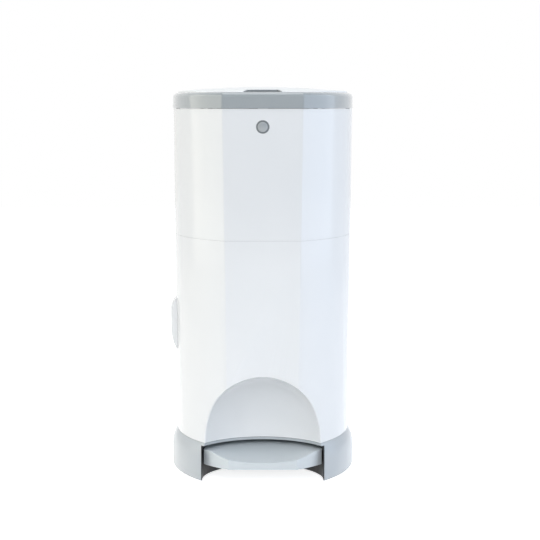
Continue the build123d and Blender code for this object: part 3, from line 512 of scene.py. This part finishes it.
def paleFloor():  # glows towards the camera and mirrors only, and keeps the object's shadow
    material = bpy.data.materials.new("paleFloor")
    material.use_nodes = True
    tree = material.node_tree
    tree.nodes.clear()
    out = tree.nodes.new("ShaderNodeOutputMaterial")
    path = tree.nodes.new("ShaderNodeLightPath")
    seen = calculate(tree, "MAXIMUM", path.outputs["Is Camera Ray"], path.outputs["Is Glossy Ray"])
    shown = calculate(tree, "MAXIMUM", seen, path.outputs["Is Transmission Ray"])
    plain = addNode(tree, "ShaderNodeBsdfDiffuse", Color=(*floorLook["colour"], 1))
    glow = addNode(tree, "ShaderNodeEmission", Strength=floorLook["glow"], Color=(1, 1, 1, 1))
    both = tree.nodes.new("ShaderNodeAddShader")
    mix = tree.nodes.new("ShaderNodeMixShader")
    tree.links.new(plain.outputs[0], both.inputs[0])
    tree.links.new(glow.outputs[0], both.inputs[1])
    tree.links.new(shown, mix.inputs["Fac"])
    tree.links.new(plain.outputs[0], mix.inputs[1])
    tree.links.new(both.outputs[0], mix.inputs[2])
    tree.links.new(mix.outputs[0], out.inputs["Surface"])
    return material


def makeFloor():
    mesh = bmesh.new()
    bmesh.ops.create_grid(mesh, x_segments=1, y_segments=1, size=floorLook["size"])
    data = bpy.data.meshes.new("floor")
    mesh.to_mesh(data)
    mesh.free()
    floor = bpy.data.objects.new("floor", data)
    scene.collection.objects.link(floor)
    data.materials.append(paleFloor())


# mirrors see the white backdrop only behind the object: it fades in between the two values of
# behind, which are the Y of the incoming direction
worldLook = {
    "ambient": 0.42, "colour": (0.906, 0.94, 1.0), "backdrop": 1.0, "behind": (-0.1, -0.5),
}


def makeWorld():  # an even light, and a white backdrop that only the camera and mirrors see
    world = bpy.data.worlds.new("studio")
    scene.world = world
    world.use_nodes = True
    tree = world.node_tree
    tree.nodes.clear()
    out = tree.nodes.new("ShaderNodeOutputWorld")
    path = tree.nodes.new("ShaderNodeLightPath")
    ambient = addNode(tree, "ShaderNodeBackground", Strength=worldLook["ambient"],
                      Color=(*worldLook["colour"], 1))
    backdrop = addNode(tree, "ShaderNodeBackground", Strength=worldLook["backdrop"],
                       Color=(1, 1, 1, 1))
    mix = tree.nodes.new("ShaderNodeMixShader")
    parts = tree.nodes.new("ShaderNodeSeparateXYZ")
    tree.links.new(tree.nodes.new("ShaderNodeNewGeometry").outputs["Incoming"], parts.inputs[0])
    behind = spread(tree, parts.outputs["Y"], 0.0, 1.0, worldLook["behind"])
    mirrored = calculate(tree, "MULTIPLY", path.outputs["Is Glossy Ray"], behind)
    seen = calculate(tree, "MAXIMUM", path.outputs["Is Camera Ray"], mirrored)
    tree.links.new(seen, mix.inputs["Fac"])
    tree.links.new(ambient.outputs[0], mix.inputs[1])
    tree.links.new(backdrop.outputs[0], mix.inputs[2])
    tree.links.new(mix.outputs[0], out.inputs["Surface"])


lamps = {  # power in watts, spread in degrees; mirrored lamps also show in glossy surfaces
    "left": {"at": (-2.1, -0.35, 1.0), "aim": (0.0, 0.0, 0.33), "size": (2.8, 2.0),
             "spread": 180.0, "mirrored": True, "power": 22.6, "colour": (1.0, 0.961, 0.831)},
    "right": {"at": (2.1, -0.35, 1.0), "aim": (0.0, 0.0, 0.33), "size": (2.8, 2.0),
              "spread": 180.0, "mirrored": True, "power": 20.9, "colour": (0.729, 0.837, 1.0)},
    "front": {"at": (0.2, -3.0, 1.3), "aim": (0.0, 0.0, 0.3), "size": (1.6, 1.2),
              "spread": 180.0, "mirrored": False, "power": 25.0, "colour": (0.945, 0.974, 1.0)},
    "top": {"at": (0.0, -0.3, 2.4), "aim": (0.0, 0.0, 0.6), "size": (1.6, 1.6),
            "spread": 180.0, "mirrored": True, "power": 15.0, "colour": (0.982, 0.998, 1.0)},
    "step": {"at": (-0.25, -1.15, 0.78), "aim": (0.0, -0.13, 0.045), "size": (0.5, 0.2),
             "spread": 30.0, "mirrored": False, "power": 0.09, "colour": (1.0, 1.0, 1.0)},
}


def makeLamp(name, look):
    data = bpy.data.lights.new(name, "AREA")
    data.shape = "RECTANGLE"
    data.size, data.size_y = look["size"]
    data.energy = look["power"]
    data.color = look["colour"]
    data.spread = math.radians(look["spread"])
    lamp = bpy.data.objects.new(name, data)
    scene.collection.objects.link(lamp)
    lamp.visible_camera = False
    lamp.visible_glossy = look["mirrored"]
    lamp.location = look["at"]
    away = Vector(look["aim"]) - Vector(look["at"])
    lamp.rotation_euler = away.to_track_quat("-Z", "Y").to_euler()


cameraLook = {  # fitted to the photograph; frame, middle and focal length are in its pixels
    "at": (0.0, -2.3098, 0.5950), "down": 6.641, "focalPixels": 1400.0, "sensor": 36.0,
    "frame": 540.0, "middle": 262.75,
}


def makeCamera():
    look = cameraLook
    data = bpy.data.cameras.new("camera")
    data.sensor_width = look["sensor"]
    data.lens = look["sensor"] * look["focalPixels"] / look["frame"]
    data.shift_x = (look["frame"] / 2 - look["middle"]) / look["frame"]
    camera = bpy.data.objects.new("camera", data)
    scene.collection.objects.link(camera)
    camera.location = look["at"]
    camera.rotation_euler = (math.radians(90 - look["down"]), 0, 0)
    scene.camera = camera


makeFloor()
makeWorld()
for name, look in lamps.items():
    makeLamp(name, look)
makeCamera()
scene.view_settings.view_transform = "Standard"
print("stage made")
